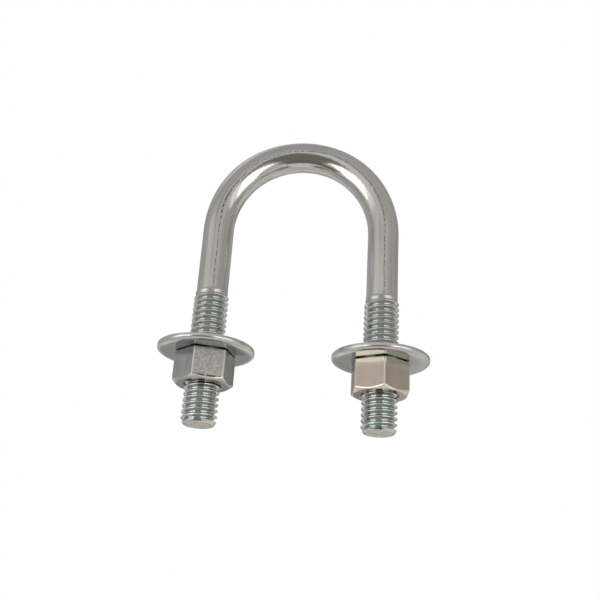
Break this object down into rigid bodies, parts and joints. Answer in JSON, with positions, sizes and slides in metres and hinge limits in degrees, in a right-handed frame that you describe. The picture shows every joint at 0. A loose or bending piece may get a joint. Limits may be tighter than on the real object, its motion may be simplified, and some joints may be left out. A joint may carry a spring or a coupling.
{
  "type": "u-bolt",
  "caption": "Round-bend steel U-bolt with a threaded end on each leg, each leg fitted with a flat washer and a hex nut.",
  "frame": {"origin": "midway between the two rod ends, at their height", "axes": "+Z along the legs towards the bow, +X across the two legs, Y through the U's opening"},
  "size_m": [0.0726, 0.026, 0.0855],
  "materials": {
    "rod_zinc": "satin zinc plate",
    "washer_zinc": "satin zinc plate",
    "nut_zinc": "satin zinc plate",
    "nut_bright": "bright zinc plate"
  },
  "bodies": {
    "u_bolt": {"u_bolt": "rod_zinc"},
    "left_washer": {"left_washer": "washer_zinc"},
    "left_nut": {"left_nut": "nut_zinc"},
    "right_washer": {"right_washer": "washer_zinc"},
    "right_nut": {"right_nut": "nut_bright"}
  },
  "joints": [
    {"name": "left_washer_travel", "type": "slide", "parent": "u_bolt", "child": "left_washer", "axis": [0, 0, 1], "range_m": [-0.02223, 0.01588]},
    {"name": "left_nut_turn", "type": "hinge", "parent": "left_washer", "child": "left_nut", "pos_m": [-0.0233, 0, 0.0193], "axis": [0, 0, 1], "range_deg": [-5040, 3600]},
    {"name": "right_washer_travel", "type": "slide", "parent": "u_bolt", "child": "right_washer", "axis": [0, 0, 1], "range_m": [-0.02223, 0.01588]},
    {"name": "right_nut_turn", "type": "hinge", "parent": "right_washer", "child": "right_nut", "pos_m": [0.0233, 0, 0.0187], "axis": [0, 0, 1], "range_deg": [-5040, 3600]}
  ],
  "couplings": [
    {"joint": "left_washer_travel", "follows": "left_nut_turn", "m_per_rad": 0.00025266},
    {"joint": "right_washer_travel", "follows": "right_nut_turn", "m_per_rad": 0.00025266}
  ]
}
